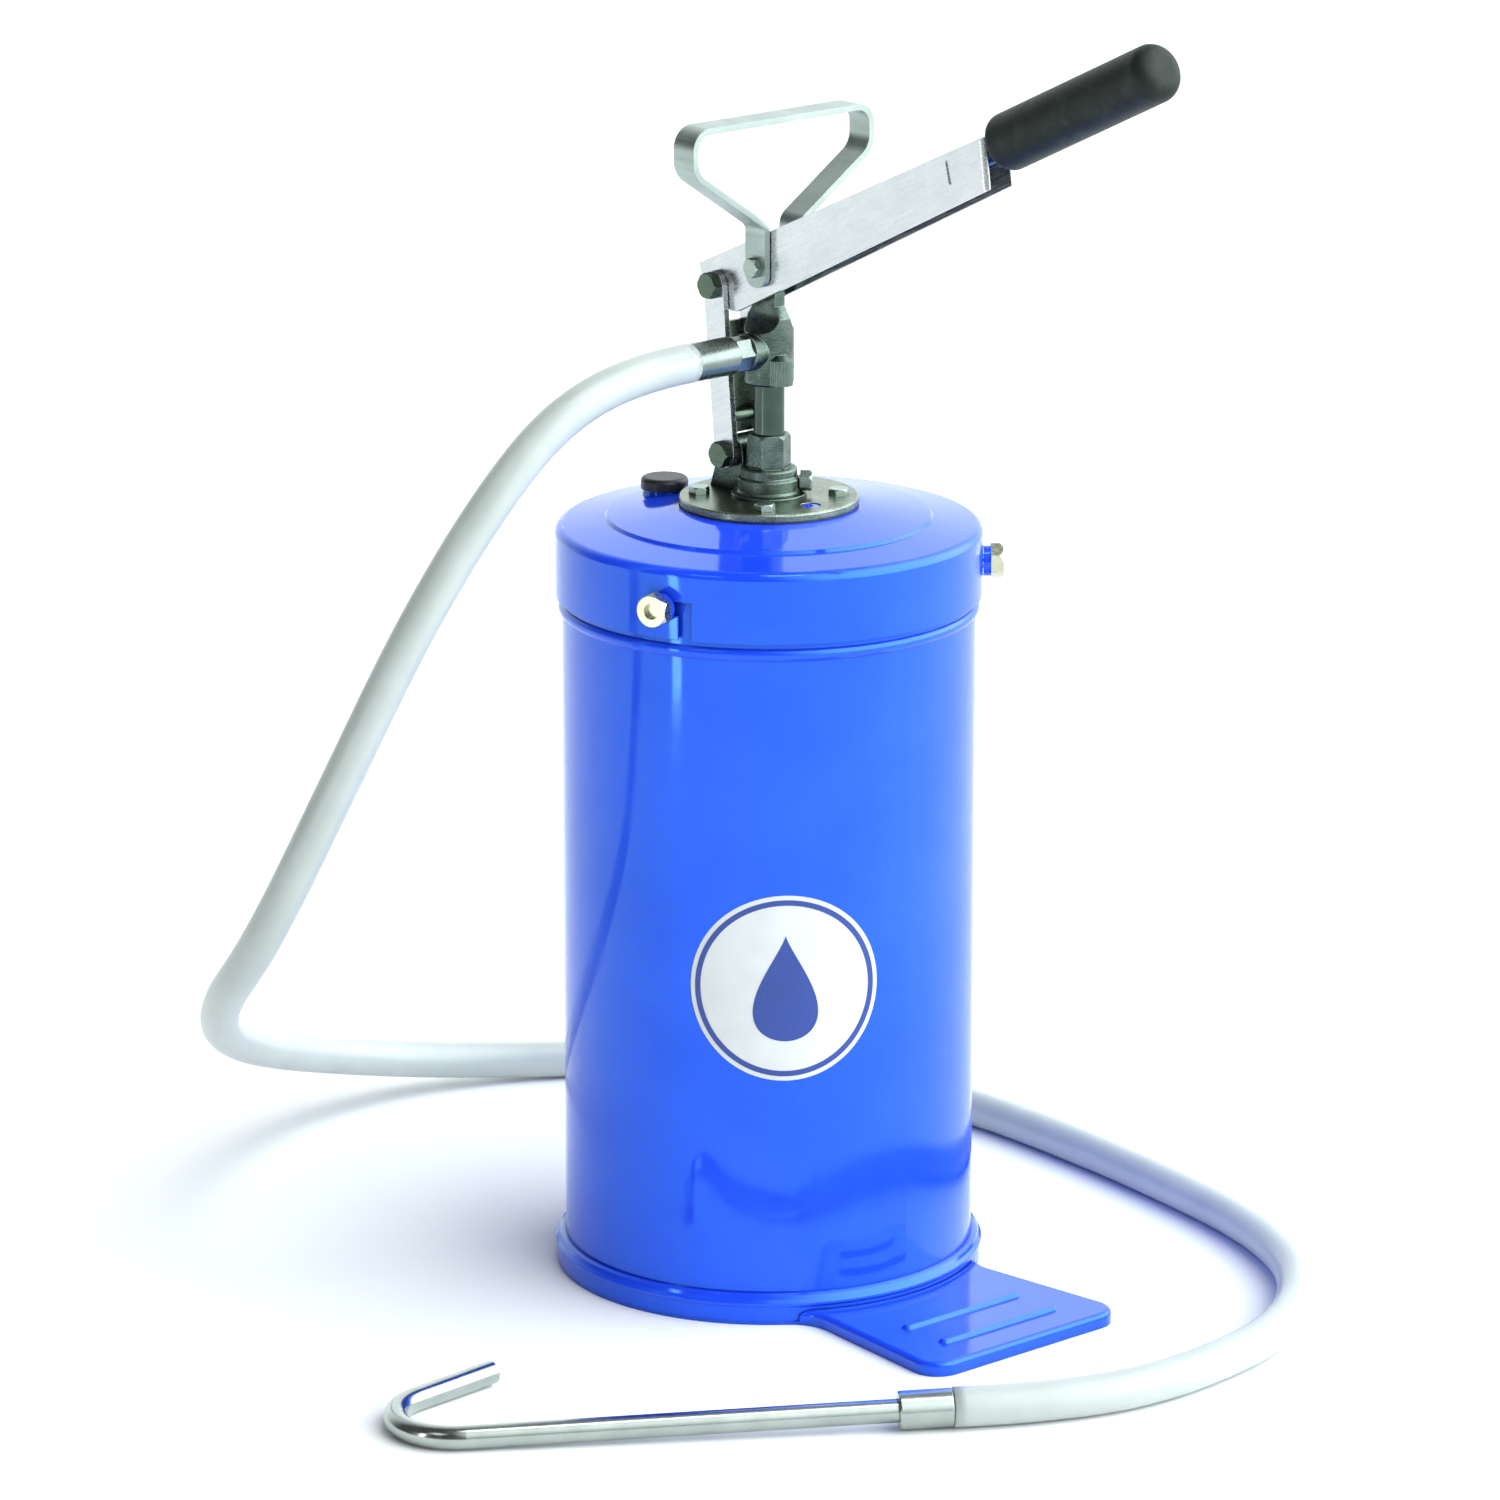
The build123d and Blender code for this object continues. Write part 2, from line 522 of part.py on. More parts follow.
with BuildPart() as pump_head:
    turned((0, HEAD_Z), (HEAD_R - 1.2, HEAD_Z), (HEAD_R, HEAD_Z + 1.2), (HEAD_R, SHOULDER_Z),
           (NECK_R, NECK_Z), (NECK_R, NECK_TOP), (0, NECK_TOP))
    for side in (1, -1):
        with BuildSketch(Plane.YZ.offset(-HEAD_R - 1)):
            with BuildLine():
                sweep_y = side * (FLAT_HALF + FLAT_SWEEP)
                Line((side * FLAT_HALF, PIVOT[1]), (side * FLAT_HALF, FLAT_Z))
                RadiusArc((side * FLAT_HALF, FLAT_Z), (sweep_y, FLAT_Z - FLAT_SWEEP), -side * FLAT_SWEEP)
                Line((sweep_y, FLAT_Z - FLAT_SWEEP), (sweep_y, PIVOT[1]))
                Line((sweep_y, PIVOT[1]), (side * FLAT_HALF, PIVOT[1]))
            make_face()
        extrude(amount=2 * HEAD_R + 2, mode=Mode.SUBTRACT)
    rod(across(PIVOT, EYE / 2), EYE_R, EYE)
    rod(across((0, OUTLET_Z), 0), OUTLET_R, OUTLET_Y)
    chamfer(pump_head.faces().sort_by(Axis.Y)[0].edges(), length=0.8)
    with BuildSketch(Plane(origin=(*PAD_AT, HEAD_Z + 1.2))):
        Circle(PAD_R)
        with PolarLocations(PAD_R, FLUTES):
            Circle(0.4, mode=Mode.SUBTRACT)
    extrude(amount=PAD_TOP - HEAD_Z - 2.2)
    with BuildSketch(Plane(origin=(*PAD_AT, PAD_TOP - 1))):
        Circle(PAD_R - 0.5)
    extrude(amount=2.6, taper=50)
    bore(Plane.XY.offset(HEAD_Z), ROD_R, ROD_SOCKET)
    bore(Plane.XY.offset(HEAD_Z + ROD_SOCKET), CHAMBER_R, OUTLET_Z - HEAD_Z - ROD_SOCKET + PASSAGE_R)
    bore(across((0, OUTLET_Z), 0), PASSAGE_R, OUTLET_Y)
    bore(across((0, OUTLET_Z), SOCKET_R - OUTLET_Y), SOCKET_R, SOCKET_R)
    bore(across(PIVOT, EYE), BUSH_R, 2 * EYE)
save(pump_head, "pump_head")

with BuildPart() as pivot_bush:
    rod(across(PIVOT, EYE / 2), BUSH_R, EYE)
    bore(across(PIVOT, EYE), PIVOT_R, 2 * EYE)
save(pivot_bush, "pivot_bush")

with BuildPart() as hose_nipple:
    outlet = (0, OUTLET_Z)
    rod(across(outlet, SOCKET_R - 0.1 - OUTLET_Y), SOCKET_R - FIT, SOCKET_R - 0.1)
    hexagon(across(outlet, -OUTLET_Y), HEX_AF, HEX_Y - OUTLET_Y)
    rod(across(outlet, -HEX_Y), TAIL_R, FERRULE_END - HEX_Y)
    bore(across(outlet, 0), PASSAGE_R, FERRULE_END)
save(hose_nipple, "hose_nipple")

with BuildPart() as hose_ferrule:
    rod(across(outlet, -HEX_Y), FERRULE_R, FERRULE_END - HEX_Y)
    chamfer(hose_ferrule.edges().filter_by(GeomType.CIRCLE), length=0.7)
    bore(across(outlet, -HEX_Y), TAIL_R + FIT, FERRULE_END)
save(hose_ferrule, "hose_ferrule")

STRAP_OUT = BAR_IN + BAR_T
NUT_FACE = STRAP_OUT + 0.1


def facing_back(point):
    """A plane on the nuts' side, facing +Y."""
    return Plane(origin=(point[0], NUT_FACE, point[1]), z_dir=(0, 1, 0), x_dir=(1, 0, 0))


with BuildPart() as pivot_bolt:
    hexagon(across(PIVOT, -NUT_FACE), PIVOT_AF, 4.2)
    rod(across(PIVOT, STRAP_OUT + 7), PIVOT_R, 2 * STRAP_OUT + 7.2)
save(pivot_bolt, "pivot_bolt")

with BuildPart() as pivot_nut:
    hexagon(facing_back(PIVOT), PIVOT_AF, 5.2)
    bore(across(PIVOT, STRAP_OUT + 7), PIVOT_R, 8)
save(pivot_nut, "pivot_nut")

# ---------------------------------------------------------------- carrying strap
with BuildPart() as carry_handle:
    mid = BAR_IN + BAR_T / 2
    strap_foot = PIVOT[1] - 11
    bend = PIVOT[1] + 23
    elbow = PIVOT[1] + 57
    strap_top = PIVOT[1] + 80
    with BuildSketch(Plane.YZ.offset(PIVOT[0] - STRAP_W / 2)):
        with BuildLine():
            FilletPolyline((mid, strap_foot), (mid, bend), (STRAP_HALF, elbow), (STRAP_HALF, strap_top),
                           (-STRAP_HALF, strap_top), (-STRAP_HALF, elbow), (-mid, bend), (-mid, strap_foot),
                           radius=[7, 13, 10, 10, 13, 7])
        trace(line_width=BAR_T)
    extrude(amount=STRAP_W)
    bore(across(PIVOT, 20), PIVOT_R + FIT, 40)
    foot_edges = carry_handle.edges().filter_by(Axis.Y).filter_by(lambda e: e.center().Z < PIVOT[1] - 10)
    fillet(foot_edges, radius=7)
save(carry_handle, "carry_handle")

# ---------------------------------------------------------------- lever
TILT = radians(LEVER_TILT)
ALONG_LEVER = (cos(TILT), 0, sin(TILT))
LEVER = Plane(origin=(PIVOT[0], LEVER_W / 2, PIVOT[1]), x_dir=ALONG_LEVER, z_dir=(0, -1, 0))
LEVER_REAR = -48.0
LEVER_FRONT = 197.0
CREST_REAR = 16.3               # height of the lever's top over the pivot, at its rear and front ends
CREST_FRONT = 12.1
POCKET = 24.0                   # how far the grip's core reaches into the channel
CRIMP_AT = 164.0                # a pressed mark on each side of the channel

with BuildPart() as lever:
    with BuildSketch(LEVER):
        Polygon((LEVER_REAR, CREST_REAR), (LEVER_FRONT, CREST_FRONT), (LEVER_FRONT - 8, -14.2), (-30, -16.8),
                (LEVER_REAR - 2, -6), align=None)
    extrude(amount=LEVER_W)
    top_edges = lever.faces().sort_by(Axis.Z)[-1].edges().filter_by(lambda e: abs(e.center().Y) > 9)
    fillet(top_edges, radius=LEVER_BEND)
    with BuildSketch(LEVER.offset(LEVER_T)):
        Polygon((LEVER_REAR - 5, CREST_REAR - LEVER_T), (LEVER_FRONT + 5, CREST_FRONT - LEVER_T - 0.1),
                (LEVER_FRONT + 5, -30), (LEVER_REAR - 5, -30), align=None)
    extrude(amount=LEVER_W - 2 * LEVER_T, mode=Mode.SUBTRACT)
    bore(across(PIVOT, 20), PIVOT_R + FIT, 40)
    bore(across(LINK_TOP, 20), BOLT_R + LINK_HOLE_PLAY, 40)
    with BuildSketch(LEVER.offset(LEVER_W / 2 - CORE_R - FIT)):
        Polygon((LEVER_FRONT - POCKET, 0), (LEVER_FRONT + 5, 0), (LEVER_FRONT + 5, 20),
                (LEVER_FRONT - POCKET, 20), align=None)
    extrude(amount=2 * CORE_R + 2 * FIT, mode=Mode.SUBTRACT)
    for face_y, inwards in ((LEVER_W / 2, -1), (-LEVER_W / 2, 1)):
        crimp = LEVER.from_local_coords(Vector(CRIMP_AT, 3, 0))
        with BuildSketch(Plane(origin=(crimp.X, face_y, crimp.Z), x_dir=ALONG_LEVER, z_dir=(0, inwards, 0))):
            SlotOverall(13, 2.4, rotation=80 * -inwards)
        extrude(amount=0.8, mode=Mode.SUBTRACT)
save(lever, "lever")

GRIP_LINE = Plane(origin=LEVER.from_local_coords(Vector(GRIP_START, GRIP_AXIS, LEVER_W / 2)),
                  z_dir=ALONG_LEVER, x_dir=(0, 1, 0))
CORE_BACK = GRIP_START - LEVER_FRONT + POCKET - 0.5

with BuildPart() as lever_core:
    rod(GRIP_LINE.offset(-CORE_BACK), CORE_R, GRIP_L + CORE_BACK - 10)
save(lever_core, "lever_core")

with BuildPart() as grip:
    rod(GRIP_LINE, GRIP_R, GRIP_L)
    fillet(grip.faces().sort_by(Axis.X)[-1].edges(), radius=9)
    fillet(grip.faces().sort_by(Axis.X)[0].edges(), radius=5)
    bore(GRIP_LINE, CORE_R + FIT, GRIP_L - 9)
save(grip, "grip")

# ---------------------------------------------------------------- link
LINK_L = (Vector(*LINK_TOP) - Vector(*LINK_BASE)).length
LINK_DIR = (Vector(*LINK_TOP) - Vector(*LINK_BASE)).normalized()


def link_bar(y):
    """One flat bar of the link, its face towards +Y at the given y."""
    middle = (Vector(*LINK_TOP) + Vector(*LINK_BASE)) * 0.5
    plane = Plane(origin=(middle.X, y, middle.Y), x_dir=(LINK_DIR.X, 0, LINK_DIR.Y), z_dir=(0, -1, 0))
    with BuildSketch(plane) as section:
        SlotCenterToCenter(LINK_L, BAR_W)
    extrude(section.sketch, amount=BAR_T)
    bore(across(LINK_BASE, y + 1), BOLT_R + FIT, BAR_T + 2)
    bore(across(LINK_TOP, y + 1), BOLT_R + FIT, BAR_T + 2)


with BuildPart() as link_bar_near:
    link_bar(-BAR_IN)
save(link_bar_near, "link_bar_near")

with BuildPart() as link_bar_far:
    link_bar(BAR_IN + BAR_T)
save(link_bar_far, "link_bar_far")


def on_link(height):
    """x, z of the link's centreline at a height."""
    along = (height - LINK_BASE[1]) / (LINK_TOP[1] - LINK_BASE[1])
    return (LINK_BASE[0] + along * (LINK_TOP[0] - LINK_BASE[0]), height)


with BuildPart() as link_pin:
    rod(across(on_link(LINK_PIN_Z), BAR_IN), LINK_PIN_R, 2 * BAR_IN)
save(link_pin, "link_pin")

with BuildPart() as link_web:
    low_x, low_z = on_link(WEB_LOW)
    high_x, high_z = on_link(WEB_HIGH)
    inner = WEB_T - BAR_W / 2
    with BuildSketch(Plane.XZ.offset(FIT - BAR_IN)):
        Polygon((low_x - BAR_W / 2, low_z), (low_x + inner, low_z), (high_x + inner, high_z),
                (high_x - BAR_W / 2, high_z), align=None)
    extrude(amount=2 * (BAR_IN - FIT))
save(link_web, "link_web")

with BuildPart() as link_top_bolt:
    hexagon(across(LINK_TOP, -NUT_FACE), BOLT_AF, M8_HEAD)
    rod(across(LINK_TOP, STRAP_OUT + 9), BOLT_R, 2 * STRAP_OUT + 9.2)
save(link_top_bolt, "link_top_bolt")

with BuildPart() as link_top_nut:
    hexagon(facing_back(LINK_TOP), BOLT_AF, M8_NUT)
    bore(across(LINK_TOP, STRAP_OUT + 7), BOLT_R, 8)
save(link_top_nut, "link_top_nut")

with BuildPart() as link_base_bolt:
    hexagon(across(LINK_BASE, -NUT_FACE), BOLT_AF, M8_HEAD)
    rod(across(LINK_BASE, STRAP_OUT + 9), BOLT_R, 2 * STRAP_OUT + 9.2)
save(link_base_bolt, "link_base_bolt")

with BuildPart() as link_base_nut:
    hexagon(facing_back(LINK_BASE), BOLT_AF, M8_NUT)
    bore(across(LINK_BASE, STRAP_OUT + 7), BOLT_R, 8)
save(link_base_nut, "link_base_nut")

with BuildPart() as link_washers:
    for y in (BAR_IN - 0.1, -LUG_HALF - FIT):
        rod(across(LINK_BASE, y), WASHER_R, BAR_IN - LUG_HALF - 0.15)
        bore(across(LINK_BASE, y + 0.1), BOLT_R + FIT, 2)
save(link_washers, "link_washers")

# ---------------------------------------------------------------- hose and spout
BEND_SHARE = 0.45               # how much of each straight a bend may take up
bends = []
for before, corner, after in zip(HOSE_ROUTE, HOSE_ROUTE[1:], HOSE_ROUTE[2:]):
    run_in = Vector(*corner) - Vector(*before)
    run_out = Vector(*after) - Vector(*corner)
    turn = radians(run_in.get_angle(run_out))
    bends.append(BEND_SHARE * min(run_in.length, run_out.length) / tan(turn / 2))

with BuildPart() as hose:
    with BuildLine() as hose_line:
        FilletPolyline(*HOSE_ROUTE, radius=bends)
    with BuildSketch(Plane(origin=HOSE_ROUTE[0], z_dir=(0, -1, 0))):
        Circle(HOSE_R)
    sweep()
save(hose, "hose")
print("hose bend radii", [round(r) for r in bends])
hose_length = sum(edge.length for edge in hose_line.line.edges())
print("hose length", round(hose_length, 1))
print("hose volume over section times length", round(hose.part.volume / (hose_length * pi * HOSE_R ** 2), 4))

LAST_RUN = (Vector(*HOSE_ROUTE[-1]) - Vector(*HOSE_ROUTE[-2])).normalized()
SPOUT_DIR = Vector(LAST_RUN.X, LAST_RUN.Y, -SPOUT_DROP).normalized()
SPOUT_SIDE = Vector(LAST_RUN.Y, -LAST_RUN.X, 0)
SPOUT_UP = SPOUT_SIDE.cross(SPOUT_DIR) * -1
SPOUT = Plane(origin=HOSE_ROUTE[-1], x_dir=SPOUT_DIR, z_dir=SPOUT_UP)
SPOUT_END = Plane(origin=HOSE_ROUTE[-1], z_dir=SPOUT_DIR)

with BuildPart() as spout_ferrule:
    rod(SPOUT_END.offset(0.2), SPOUT_FERRULE_R, SPOUT_FERRULE_L)
    chamfer(spout_ferrule.edges().filter_by(GeomType.CIRCLE), length=0.8)
    bore(SPOUT_END, SPOUT_R, 2 * SPOUT_FERRULE_L)
save(spout_ferrule, "spout_ferrule")

with BuildPart() as spout_tube:
    with BuildLine(SPOUT) as spout_line:
        straight = Line((1, 0), (SPOUT_STRAIGHT, 0))
        hook = JernArc(start=straight @ 1, tangent=straight % 1, radius=SPOUT_HOOK_R,
                       arc_size=SPOUT_HOOK_TURN)
        Line(hook @ 1, hook @ 1 + (hook % 1) * SPOUT_TIP)
    with BuildSketch(SPOUT_END.offset(1)):
        Circle(SPOUT_R)
        Circle(SPOUT_R - SPOUT_WALL, mode=Mode.SUBTRACT)
    sweep()
save(spout_tube, "spout_tube")
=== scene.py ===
"""Looks of the hand-lever oil bucket pump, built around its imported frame. Metres, in the row frame."""

import json
from math import cos, pi, radians, sin

import bmesh
import bpy
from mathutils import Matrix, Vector


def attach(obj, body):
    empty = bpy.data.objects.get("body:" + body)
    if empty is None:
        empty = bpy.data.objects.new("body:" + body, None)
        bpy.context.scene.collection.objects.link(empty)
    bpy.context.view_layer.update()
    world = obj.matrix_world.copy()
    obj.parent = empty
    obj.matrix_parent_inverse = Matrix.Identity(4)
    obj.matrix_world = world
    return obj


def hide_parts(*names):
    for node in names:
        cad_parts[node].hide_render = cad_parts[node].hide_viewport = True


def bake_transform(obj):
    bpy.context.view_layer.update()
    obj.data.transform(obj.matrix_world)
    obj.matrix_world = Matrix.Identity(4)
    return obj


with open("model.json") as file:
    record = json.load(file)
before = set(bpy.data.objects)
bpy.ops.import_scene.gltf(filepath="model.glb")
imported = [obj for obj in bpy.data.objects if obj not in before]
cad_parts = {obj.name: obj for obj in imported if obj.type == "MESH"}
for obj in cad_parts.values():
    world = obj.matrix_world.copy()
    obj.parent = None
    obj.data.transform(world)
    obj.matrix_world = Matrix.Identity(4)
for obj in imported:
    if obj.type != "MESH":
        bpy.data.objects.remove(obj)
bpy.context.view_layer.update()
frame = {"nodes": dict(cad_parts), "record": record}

# ---------------------------------------------------------------- camera
VIEW_AZIMUTH = radians(48.5)
VIEW_ELEVATION = radians(15.5155)
VIEW_DISTANCE = 4.0
VIEW_SHIFT = -0.0103            # the aim point's offset to the right of the bucket's axis
VIEW_HEIGHT = 0.2917
LENS_MM = 175.03
SENSOR_MM = 36
TO_RIGHT = Vector((cos(VIEW_AZIMUTH), sin(VIEW_AZIMUTH), 0))
TO_CAMERA = Vector((sin(VIEW_AZIMUTH), -cos(VIEW_AZIMUTH), 0))
UP = Vector((0, 0, 1))


def add_camera():
    """The camera at the viewing angle, aimed a little beside the bucket's axis."""
    aim = TO_RIGHT * VIEW_SHIFT + UP * VIEW_HEIGHT
    back = TO_CAMERA * cos(VIEW_ELEVATION) + UP * sin(VIEW_ELEVATION)
    data = bpy.data.cameras.new("camera")
    data.lens = LENS_MM
    data.sensor_width = SENSOR_MM
    camera = bpy.data.objects.new("camera", data)
    camera.location = aim + back * VIEW_DISTANCE
    camera.rotation_mode = "QUATERNION"
    camera.rotation_quaternion = (-back).to_track_quat("-Z", "Y")
    bpy.context.scene.collection.objects.link(camera)
    bpy.context.scene.camera = camera


add_camera()


# ---------------------------------------------------------------- mesh helpers
def new_piece(name, mesh, material, body, smooth=True):
    """A shown piece made from a mesh, with its material and body."""
    piece = bpy.data.objects.new(name, mesh)
    bpy.context.scene.collection.objects.link(piece)
    mesh.materials.append(material)
    if smooth:
        mesh.shade_smooth()
    if body:
        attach(piece, body)
    return piece


def grid_mesh(name, rows, capped=True):
    """A skin over rows of points, each row a closed ring."""
    mesh = bpy.data.meshes.new(name)
    count = len(rows[0])
    points = [p for row in rows for p in row]
    faces = []
    for r in range(len(rows) - 1):
        for c in range(count):
            d = (c + 1) % count
            faces.append((r * count + c, r * count + d, (r + 1) * count + d, (r + 1) * count + c))
    if capped:
        faces.append(tuple(range(count))[::-1])
        faces.append(tuple((len(rows) - 1) * count + c for c in range(count)))
    mesh.from_pydata(points, [], faces)
    mesh.validate()
    return mesh


def close_loop(mesh, rows, count):
    """Join the last row of a skin to the first."""
    work = bmesh.new()
    work.from_mesh(mesh)
    work.verts.ensure_lookup_table()
    first = (rows - 1) * count
    for c in range(count):
        d = (c + 1) % count
        work.faces.new([work.verts[first + c], work.verts[first + d], work.verts[d], work.verts[c]])
    bmesh.ops.recalc_face_normals(work, faces=work.faces)
    work.to_mesh(mesh)
    work.free()


# ---------------------------------------------------------------- materials
RANGE_SOCKETS = ("From Min", "From Max", "To Min", "To Max")
COLOR_A = 6                     # the colour sockets of a Mix node
COLOR_B = 7
COLOR_RESULT = 2


class Finish:
    """A material being made: one Principled shader, with short ways to add nodes to it."""

    def __init__(self, name, color, roughness, **sockets):
        self.material = bpy.data.materials.new(name)
        self.material.use_nodes = True
        self.tree = self.material.node_tree
        self.shader = self.tree.nodes["Principled BSDF"]
        self.set("Base Color", (*color, 1))
        self.set("Roughness", roughness)
        for socket, value in sockets.items():
            self.set(socket.replace("_", " "), value)
        self.place = self.add("ShaderNodeTexCoord").outputs["Object"]

    def set(self, socket, value):
        self.shader.inputs[socket].default_value = value

    def add(self, kind, **settings):
        node = self.tree.nodes.new(kind)
        for key, value in settings.items():
            setattr(node, key, value)
        return node

    def join(self, start, end):
        self.tree.links.new(start, end)

    def stretched(self, scale, turn=0.0):
        """The coordinates stretched along each axis, after a turn about Y."""
        node = self.add("ShaderNodeMapping", vector_type="TEXTURE")
        node.inputs["Rotation"].default_value = (0, -turn, 0)
        node.inputs["Scale"].default_value = [1 / factor for factor in scale]
        self.join(self.place, node.inputs["Vector"])
        return node.outputs["Vector"]

    def noise(self, size, detail=3.0, place=None):
        """Noise whose patches are about size metres across."""
        node = self.add("ShaderNodeTexNoise")
        node.inputs["Scale"].default_value = 1 / size
        node.inputs["Detail"].default_value = detail
        self.join(place or self.place, node.inputs["Vector"])
        return node.outputs["Fac"]

    def ranged(self, value, from_low, from_high, low, high):
        """The value moved from one range to another."""
        node = self.add("ShaderNodeMapRange", interpolation_type="SMOOTHSTEP")
        for socket, number in zip(RANGE_SOCKETS, (from_low, from_high, low, high)):
            node.inputs[socket].default_value = number
        self.join(value, node.inputs["Value"])
        return node.outputs["Result"]

    def edges(self, radius):
        """0 on flat ground, towards 1 within a radius of a sharp edge, and the normal rounded there."""
        rounded = self.add("ShaderNodeBevel", samples=4)
        rounded.inputs["Radius"].default_value = radius
        flat = self.add("ShaderNodeNewGeometry").outputs["Normal"]
        dot = self.add("ShaderNodeVectorMath", operation="DOT_PRODUCT")
        self.join(rounded.outputs["Normal"], dot.inputs[0])
        self.join(flat, dot.inputs[1])
        return self.ranged(dot.outputs["Value"], 0.995, 0.9, 0, 1), rounded.outputs["Normal"]

    def painted_crevice_shade(self, reach):
        """0 in the open, towards 1 in corners and gaps narrower than the reach: the mask for shade painted
        there.
        """
        shade = self.add("ShaderNodeAmbientOcclusion", samples=4)
        shade.inputs["Distance"].default_value = reach
        return self.ranged(shade.outputs["AO"], 0.25, 0.85, 1, 0)

    def blend(self, factor, color, other):
        """A colour between two, each a socket or a colour."""
        node = self.add("ShaderNodeMix", data_type="RGBA")
        self.join(factor, node.inputs["Factor"])
        for socket, value in ((node.inputs[COLOR_A], color), (node.inputs[COLOR_B], other)):
            if isinstance(value, bpy.types.NodeSocket):
                self.join(value, socket)
            else:
                socket.default_value = (*value, 1)
        return node.outputs[COLOR_RESULT]

    def bump(self, height, distance, normal=None, strength=1.0):
        """A normal that follows a height, on top of another normal."""
        node = self.add("ShaderNodeBump")
        node.inputs["Strength"].default_value = strength
        node.inputs["Distance"].default_value = distance
        self.join(height, node.inputs["Height"])
        if normal:
            self.join(normal, node.inputs["Normal"])
        return node.outputs["Normal"]

    def give(self, socket, value):
        self.join(value, self.shader.inputs[socket])


def blue_enamel():
    """Glossy cobalt enamel with a faint orange peel, haze in the gloss, and painted shade: darker blue in
    crevices and along sharp edges and seams.
    """
    m = Finish("blue_enamel", BLUE_COLOR, 0.07, Specular_IOR_Level=0.85, Specular_Tint=(0.30, 0.90, 1.0, 1))
    tint = m.blend(m.ranged(m.noise(0.09, 2), 0.35, 0.65, 0, 1), (0.010, 0.056, 0.82), (0.015, 0.068, 0.88))
    edge, rounded = m.edges(0.0006)
    # Painted shade: darker blue in corners and gaps.
    tint = m.blend(m.painted_crevice_shade(0.008), tint, (0.003, 0.022, 0.26))
    # Painted shade: darker blue along sharp edges and seams.
    m.give("Base Color", m.blend(edge, tint, (0.008, 0.050, 0.62)))
    m.give("Roughness", m.ranged(m.noise(0.02, 5), 0.3, 0.7, 0.05, 0.12))
    m.give("Normal", m.bump(m.noise(0.012, 2), 0.00014, rounded, 0.25))
    return m.material


def plated(name, color, roughness, streak, tint, edge_wear_and_shade=1.18, turn=0.0):
    """Plated or bare metal: streaks from rolling or grinding, a little tint, edges lighter as rubbed wear
    when the edge factor is above 1 and darker as painted shade when it is below 1.
    """
    m = Finish(name, color, roughness, Metallic=1.0)
    long_marks = m.noise(0.0009, 3, m.stretched(streak, turn))
    edge, rounded = m.edges(0.0004)
    body = m.blend(m.ranged(m.noise(0.02, 3), 0.3, 0.7, 0, 1), color, tint)
    # Edges: lighter as rubbed wear for a factor above 1, darker as painted shade for a factor below 1.
    m.give("Base Color", m.blend(edge, body, tuple(min(1.0, c * edge_wear_and_shade) for c in color)))
    m.give("Roughness", m.ranged(long_marks, 0.25, 0.75, roughness * 0.8, roughness * 1.35))
    m.give("Normal", m.bump(long_marks, 0.00002, rounded, 0.25))
    return m.material


def machined(name, color, tint, roughness, grain):
    """Casting machined on its faces: turning rings, blotches of oxide and oil, painted shade darkening its
    crevices, bright rubbed corners.
    """
    m = Finish(name, color, roughness, Metallic=1.0)
    fine = m.noise(grain, 4)
    rings = m.noise(0.0005, 2, m.stretched((0.12, 0.12, 1)))
    edge, rounded = m.edges(0.0006)
    body = m.blend(m.ranged(m.noise(0.011, 5), 0.38, 0.62, 0, 1), color, tint)
    body = m.blend(m.ranged(rings, 0.45, 0.7, 0, 0.35), body, tuple(c * 1.7 for c in color))
    # Painted shade: darker towards the tint in corners and gaps.
    body = m.blend(m.painted_crevice_shade(0.005), body, tuple(c * 0.6 for c in tint))
    m.give("Base Color", m.blend(edge, body, tuple(min(1.0, c * 2.6) for c in color)))
    m.give("Roughness", m.ranged(fine, 0.3, 0.7, roughness * 0.75, roughness * 1.3))
    m.give("Normal", m.bump(rings, 0.00004, m.bump(fine, 0.0001, rounded, 0.4), 0.4))
    return m.material


def rubber():
    """Matt black moulded rubber with a fine skin, dust in it, and a greyer domed end that is a painted
    highlight.
    """
    m = Finish("grip_rubber", (0.008, 0.013, 0.009), 0.45, Specular_IOR_Level=0.25)
    dust = m.ranged(m.noise(0.010, 5), 0.45, 0.75, 0, 1)
    painted_end_highlight = m.edges(0.004)[0]
    body = m.blend(dust, (0.006, 0.011, 0.008), (0.014, 0.022, 0.017))
    # Painted highlight: greyer towards the rounded end and sharp edges.
    m.give("Base Color", m.blend(painted_end_highlight, body, (0.075, 0.11, 0.09)))
    fine = m.noise(0.0008, 3)
    m.give("Roughness", m.ranged(fine, 0.3, 0.7, 0.42, 0.62))
    m.give("Normal", m.bump(fine, 0.00012, None, 0.5))
    return m.material


def plastic(name, color):
    """Black moulded plastic or rubber seal."""
    m = Finish(name, color, 0.4)
    edge, rounded = m.edges(0.0004)
    fine = m.noise(0.0012, 3)
    m.give("Base Color", m.blend(edge, color, tuple(c * 1.8 for c in color)))
    m.give("Roughness", m.ranged(fine, 0.3, 0.7, 0.34, 0.5))
    m.give("Normal", m.bump(fine, 0.00008, rounded, 0.4))
    return m.material


def milky_hose():
    """Milky soft hose: light inside the wall, a smooth skin with faint clouds in it."""
    m = Finish("milky_hose", (0.45, 0.48, 0.46), 0.30, Subsurface_Weight=1.0, Subsurface_Scale=0.012,
               Subsurface_Radius=(1.0, 1.0, 0.95), Coat_Weight=0.1, Coat_Roughness=0.15)
    clouds = m.ranged(m.noise(0.03, 4), 0.3, 0.7, 0, 1)
    m.give("Base Color", m.blend(clouds, (0.44, 0.475, 0.455), (0.47, 0.505, 0.485)))
    m.give("Normal", m.bump(m.noise(0.012, 2), 0.0002, None, 0.15))
    return m.material


